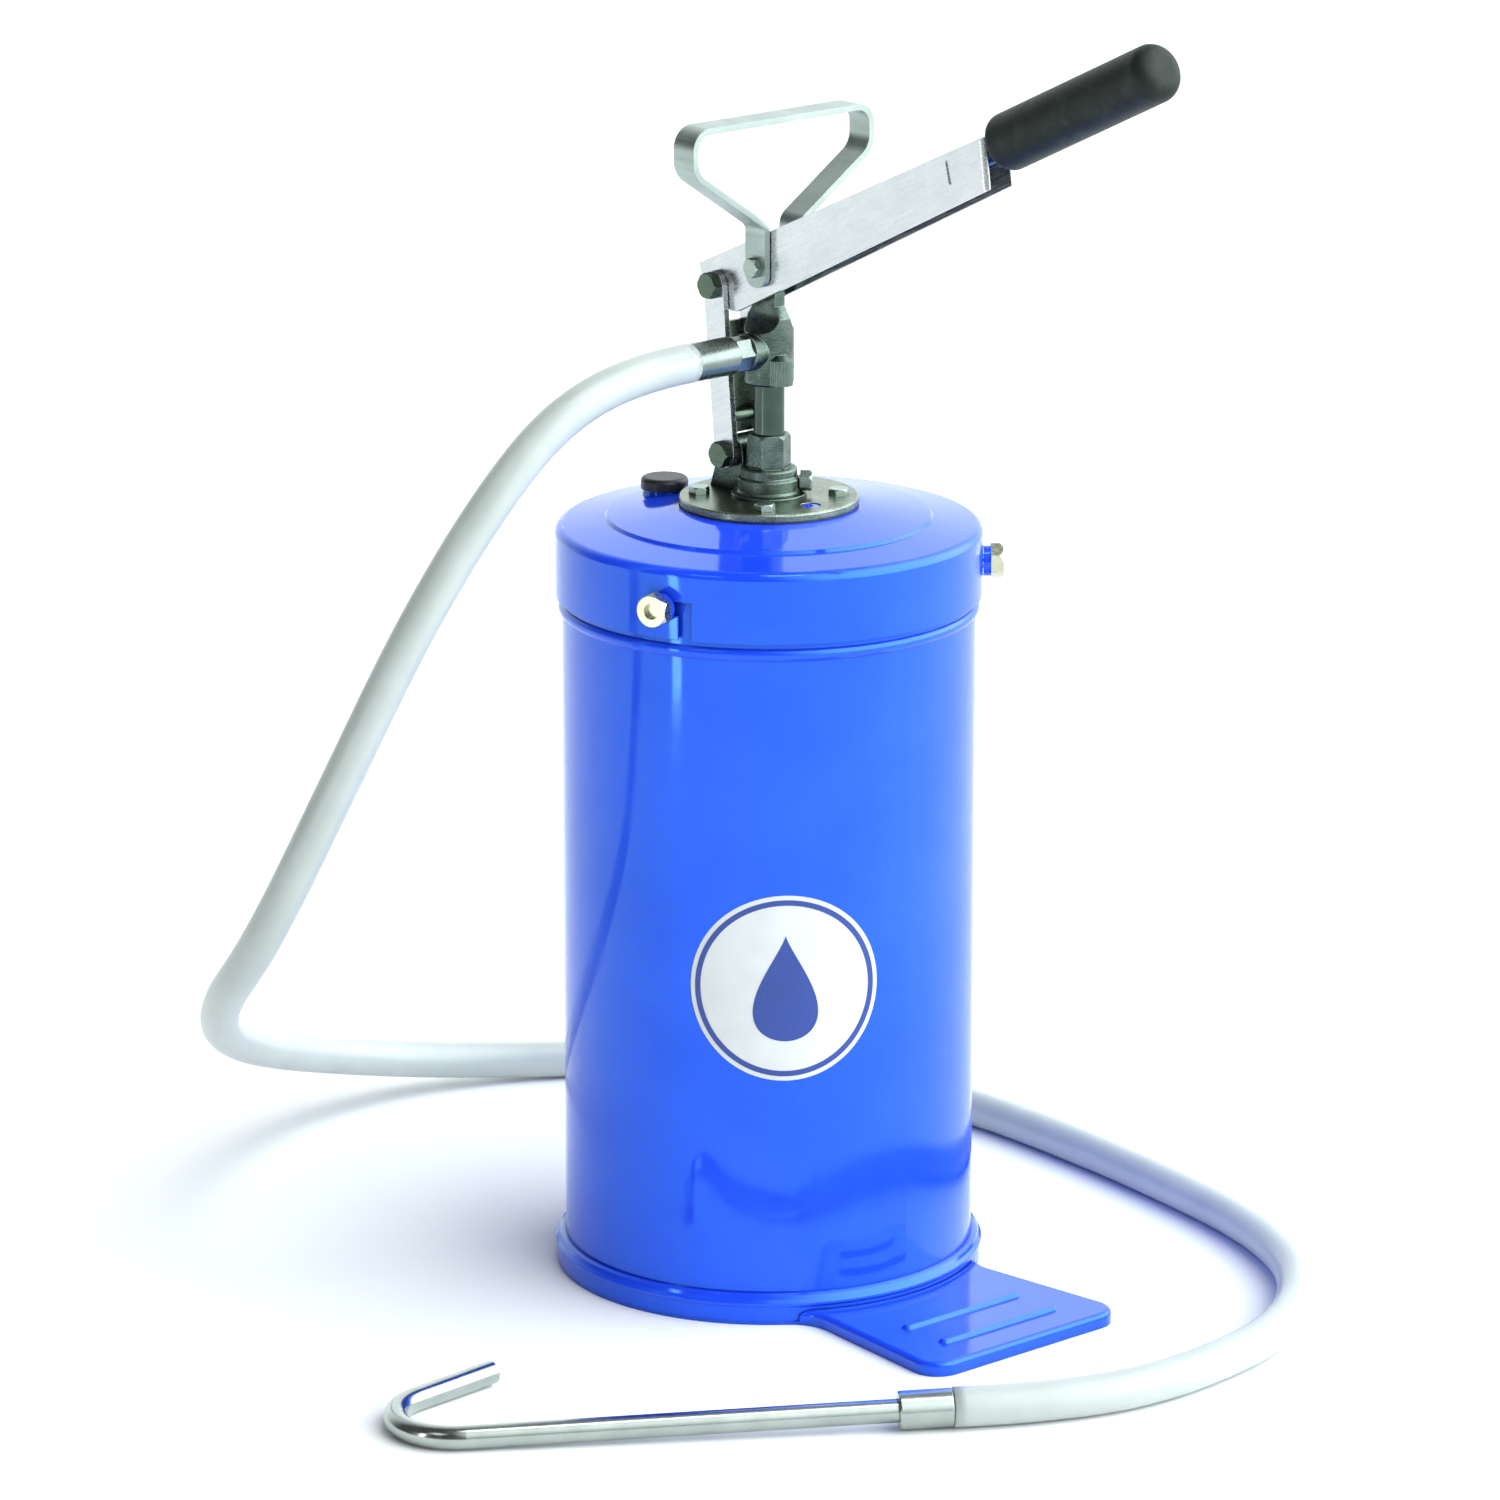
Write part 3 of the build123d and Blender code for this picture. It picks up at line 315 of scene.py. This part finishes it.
def printed(name, color):
    """Printed film on the bucket: flat ink under a thin gloss."""
    m = Finish(name, color, 0.32, Coat_Weight=0.4, Coat_Roughness=0.08, Coat_IOR=1.4)
    fine = m.noise(0.0007, 2)
    patches = m.ranged(m.noise(0.02, 3), 0.3, 0.7, 0, 1)
    m.give("Base Color", m.blend(patches, color, tuple(c * 0.93 for c in color)))
    m.give("Roughness", m.ranged(fine, 0.3, 0.7, 0.27, 0.38))
    return m.material


ALONG_X = (0.04, 1, 1)
LEVER_RISE = radians(25.3)        # the lever's slope at rest
ROUND_Z = (1, 1, 0.05)
BLUE_COLOR = (0.015, 0.085, 0.85)
BLUE = blue_enamel()
BRIGHT_ZINC = plated("bright_zinc", (0.64, 0.65, 0.66), 0.24, ALONG_X, (0.58, 0.60, 0.61), turn=LEVER_RISE)
# The strap's darker edges are painted shade.
STRAP_ZINC = plated("strap_zinc", (0.43, 0.49, 0.46), 0.38, ALONG_X, (0.36, 0.42, 0.39), edge_wear_and_shade=0.4)
FASTENER = plated("zinc_fastener", (0.40, 0.47, 0.42), 0.28, ALONG_X, (0.32, 0.39, 0.34))
# Dark zinc of the link bolts; the link web shares this slot, and there its darkness is painted shade.
DARK_FASTENER_AND_WEB_SHADE = plated("dark_fastener", (0.12, 0.16, 0.12), 0.30, ALONG_X, (0.08, 0.11, 0.08))
YELLOW_ZINC = plated("yellow_zinc", (0.62, 0.64, 0.50), 0.26, ALONG_X, (0.56, 0.55, 0.38))
GROUND_STEEL = plated("ground_steel", (0.075, 0.105, 0.09), 0.20, (1, 1, 12), (0.055, 0.08, 0.065))
BARREL_STEEL = plated("barrel_steel", (0.46, 0.46, 0.46), 0.35, ROUND_Z, (0.40, 0.40, 0.40))
CHROME = plated("chrome_plate", (0.45, 0.49, 0.46), 0.18, ALONG_X, (0.38, 0.42, 0.39))
DULL_PLATE = plated("dull_plate", (0.24, 0.28, 0.26), 0.30, ALONG_X, (0.18, 0.22, 0.20))
CASTING = machined("machined_casting", (0.11, 0.145, 0.125), (0.065, 0.09, 0.075), 0.34, 0.0012)
FLANGE = machined("machined_flange", (0.20, 0.235, 0.185), (0.13, 0.16, 0.12), 0.30, 0.0008)
BRONZE = machined("turned_bronze", (0.50, 0.36, 0.17), (0.42, 0.30, 0.14), 0.3, 0.0008)
RUBBER = rubber()
SEAL = plastic("seal_rubber", (0.03, 0.03, 0.03))
BLACK = plastic("black_plastic", (0.010, 0.011, 0.011))
HOSE = milky_hose()
LABEL_WHITE = printed("label_white", (0.64, 0.66, 0.66))
LABEL_BLUE = printed("label_blue", (0.010, 0.045, 0.28))

MATERIALS = {
    "blue_paint": BLUE, "yellow_zinc": YELLOW_ZINC, "zinc_fastener": FASTENER, "bright_zinc": BRIGHT_ZINC,
    "cast_iron": CASTING, "ground_steel": GROUND_STEEL, "barrel_steel": BARREL_STEEL, "bronze": BRONZE,
    "dark_fastener": DARK_FASTENER_AND_WEB_SHADE, "flange_plate": FLANGE, "chrome_plate": CHROME, "grip_rubber": RUBBER,
    "seal_rubber": SEAL, "black_plastic": BLACK, "hose_pvc": HOSE,
}
REPAINTED = (("carry_handle", STRAP_ZINC), ("hose_ferrule", DULL_PLATE), ("hose_nipple", DULL_PLATE))


def paint_nodes():
    """Every CAD node gets the material of its slot in the record, and three get their own plating."""
    for subpart in frame["record"]["subparts"]:
        node = frame["nodes"][subpart["node"]]
        node.data.materials.clear()
        node.data.materials.append(MATERIALS[subpart["material_slot"]])
    for name, material in REPAINTED:
        frame["nodes"][name].data.materials[0] = material


paint_nodes()

# ---------------------------------------------------------------- hose
HOSE_R = 0.01075
HOSE_SIDES = 32                 # points round the hose
HOSE_STEPS = 16                 # points along it between two of its route's
HOSE_ROUTE = [
    (0, -0.057, 0.517), (0, -0.096, 0.517), (-0.004, -0.146, 0.500), (-0.014, -0.184, 0.459),
    (-0.033, -0.221, 0.393), (-0.061, -0.251, 0.307), (-0.104, -0.272, 0.212), (-0.187, -0.244, 0.147),
    (-0.282, -0.158, 0.088), (-0.352, -0.045, 0.040), (-0.350, 0.076, 0.011), (-0.268, 0.188, 0.011),
    (-0.130, 0.245, 0.011), (0.045, 0.236, 0.011), (0.211, 0.204, 0.011), (0.298, 0.118, 0.011),
    (0.317, 0.005, 0.011), (0.297, -0.066, 0.011), (0.268, -0.109, 0.011),
]


def smooth_line(route):
    """The points of the NURBS spline that has the route as its control points."""
    curve = bpy.data.curves.new("route", "CURVE")
    curve.dimensions = "3D"
    curve.resolution_u = HOSE_STEPS
    spline = curve.splines.new("NURBS")
    spline.points.add(len(route) - 1)
    for point, place in zip(spline.points, route):
        point.co = (*place, 1)
    spline.order_u = 3
    spline.use_endpoint_u = True
    holder = bpy.data.objects.new("route", curve)
    mesh = bpy.data.meshes.new_from_object(holder)
    points = [v.co.copy() for v in mesh.vertices]
    bpy.data.meshes.remove(mesh)
    bpy.data.objects.remove(holder)
    bpy.data.curves.remove(curve)
    return points


def frames_along(points):
    """A plane across the line at each point, turned as little as possible from one to the next."""
    tangents = []
    for i in range(len(points)):
        ahead = points[min(i + 1, len(points) - 1)]
        behind = points[max(i - 1, 0)]
        tangents.append((ahead - behind).normalized())
    side = tangents[0].orthogonal().normalized()
    planes = []
    for tangent in tangents:
        side = (side - tangent * side.dot(tangent)).normalized()
        planes.append((side, tangent.cross(side)))
    return planes


def ring(centre, plane, radius, count):
    """A ring of points round a centre."""
    side, other = plane
    turns = [2 * pi * k / count for k in range(count)]
    return [centre + side * (radius * cos(a)) + other * (radius * sin(a)) for a in turns]


def make_hose():
    """The hose as a tube along its route, in place of the hidden CAD hose."""
    line = smooth_line(HOSE_ROUTE)
    rings = [ring(point, plane, HOSE_R, HOSE_SIDES) for point, plane in zip(line, frames_along(line))]
    mesh = grid_mesh("hose_tube", rings)
    hose = new_piece("hose_tube", mesh, HOSE, None)
    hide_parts("hose")
    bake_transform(hose)


make_hose()


# ---------------------------------------------------------------- label on the bucket
BUCKET_R = 0.113
LABEL_AZ = radians(-37)
LABEL_Z = 0.190
FILM = 0.00018                  # how far each layer of film stands out
FILM_GAP = 0.00002
FILM_STEPS = 8                  # bands between a film's two outlines
OUTLINE_POINTS = 96


def film(name, outline, inner, layer, material):
    """A shape of printed film wrapped on the bucket: the area between two outlines, or inside one."""
    low = BUCKET_R + FILM * (layer - 1) + FILM_GAP
    high = BUCKET_R + FILM * layer

    def wrapped(shape, radius):
        return [(radius * cos(LABEL_AZ + x / BUCKET_R), radius * sin(LABEL_AZ + x / BUCKET_R), LABEL_Z + y)
                for x, y in shape]

    between = [[(a[0] + (b[0] - a[0]) * k / FILM_STEPS, a[1] + (b[1] - a[1]) * k / FILM_STEPS)
                for a, b in zip(outline, inner)] for k in range(FILM_STEPS + 1)]
    front = [wrapped(shape, high) for shape in between]
    back = [wrapped(shape, low) for shape in between[::-1]]
    mesh = grid_mesh(name, front + back, capped=False)
    close_loop(mesh, 2 * (FILM_STEPS + 1), len(outline))
    new_piece(name, mesh, material, "root", smooth=False)


def disc_line(radius):
    """The outline of a disc."""
    turns = [2 * pi * k / OUTLINE_POINTS for k in range(OUTLINE_POINTS)]
    return [(radius * cos(a), radius * sin(a)) for a in turns]


def drop_line(scale):
    """The outline of an oil drop, point up."""
    line = []
    for k in range(OUTLINE_POINTS):
        a = 2 * pi * k / OUTLINE_POINTS
        line.append((scale * sin(a) * sin(a / 2) ** 1.6 * 0.95, scale * cos(a) * 1.1))
    return line


def add_label():
    """A plain round label with an oil drop on it."""
    film("label_disc", disc_line(0.052), disc_line(0.0004), 1, LABEL_WHITE)
    film("label_rim", disc_line(0.0495), disc_line(0.0465), 2, LABEL_BLUE)
    film("label_drop", drop_line(0.027), drop_line(0.0003), 2, LABEL_BLUE)


add_label()


# ---------------------------------------------------------------- stage and light
FLOOR_HALF = 14


def add_light(name, place, aim, size, power, diffuse=True):
    """A rectangular light aimed at a point, seen only by what it lights."""
    data = bpy.data.lights.new(name, "AREA")
    data.shape = "RECTANGLE"
    data.size, data.size_y = size
    data.energy = power
    light = bpy.data.objects.new(name, data)
    light.location = place
    light.rotation_mode = "QUATERNION"
    light.rotation_quaternion = (Vector(aim) - Vector(place)).to_track_quat("-Z", "Y")
    light.visible_camera = False
    light.visible_diffuse = diffuse
    bpy.context.scene.collection.objects.link(light)


def add_floor():
    """A wide pale floor."""
    m = Finish("floor_paper", (0.86, 0.87, 0.87), 0.8, Specular_IOR_Level=0.2)
    m.give("Base Color", m.blend(m.noise(0.4, 2), (0.855, 0.86, 0.865), (0.87, 0.875, 0.88)))
    mesh = bpy.data.meshes.new("floor")
    corners = [(x * FLOOR_HALF, y * FLOOR_HALF, 0) for x, y in ((-1, -1), (1, -1), (1, 1), (-1, 1))]
    mesh.from_pydata(corners, [], [(0, 1, 2, 3)])
    mesh.materials.append(m.material)
    floor = bpy.data.objects.new("floor", mesh)
    bpy.context.scene.collection.objects.link(floor)


def add_world():
    """A soft white studio, brighter to the right and overhead, dimmer where the viewer stands."""
    world = bpy.data.worlds.new("studio")
    bpy.context.scene.world = world
    world.use_nodes = True
    tree = world.node_tree
    sky = tree.nodes.new("ShaderNodeTexCoord").outputs["Generated"]
    total = None
    for towards, start, end, bright in WORLD_LIGHT:
        side = tree.nodes.new("ShaderNodeVectorMath")
        side.operation = "DOT_PRODUCT"
        side.inputs[1].default_value = towards
        tree.links.new(sky, side.inputs[0])
        glow = tree.nodes.new("ShaderNodeMapRange")
        glow.interpolation_type = "SMOOTHSTEP"
        for socket, number in zip(RANGE_SOCKETS, (start, end, 0, bright)):
            glow.inputs[socket].default_value = number
        tree.links.new(side.outputs["Value"], glow.inputs["Value"])
        both = tree.nodes.new("ShaderNodeMath")
        both.inputs[1].default_value = WORLD_BASE
        tree.links.new(glow.outputs["Result"], both.inputs[0])
        if total:
            tree.links.new(total, both.inputs[1])
        total = both.outputs["Value"]
    background = tree.nodes["Background"]
    background.inputs["Color"].default_value = (0.92, 0.985, 1.0, 1)
    tree.links.new(total, background.inputs["Strength"])


WORLD_BASE = 0.10
WORLD_LIGHT = [
    (TO_RIGHT * 0.9 + TO_CAMERA * 0.2 + UP * 0.39, 0.3, 0.95, 4.7),
    (-TO_CAMERA, 0.2, 1.0, 1.5),
]
add_floor()
add_world()
CENTRE = (0, 0, 0.3)
add_light("key", (0.5, -2.6, 2.4), CENTRE, (0.9, 0.9), 4)
add_light("streak", TO_CAMERA * 0.8 + TO_RIGHT * 0.25 + UP * 3, (0, 0, 0.42), (0.7, 0.45), 7)
STRIP_SIDE = radians(50)        # the strip light stands this far left of the viewer
STRIP_PLACE = (TO_CAMERA * cos(STRIP_SIDE) - TO_RIGHT * sin(STRIP_SIDE)) * 1.3 + UP * 0.29
add_light("strip", STRIP_PLACE, (0, 0, 0.29), (0.12, 0.54), 1.1, diffuse=False)
bpy.context.scene.view_settings.view_transform = "Standard"
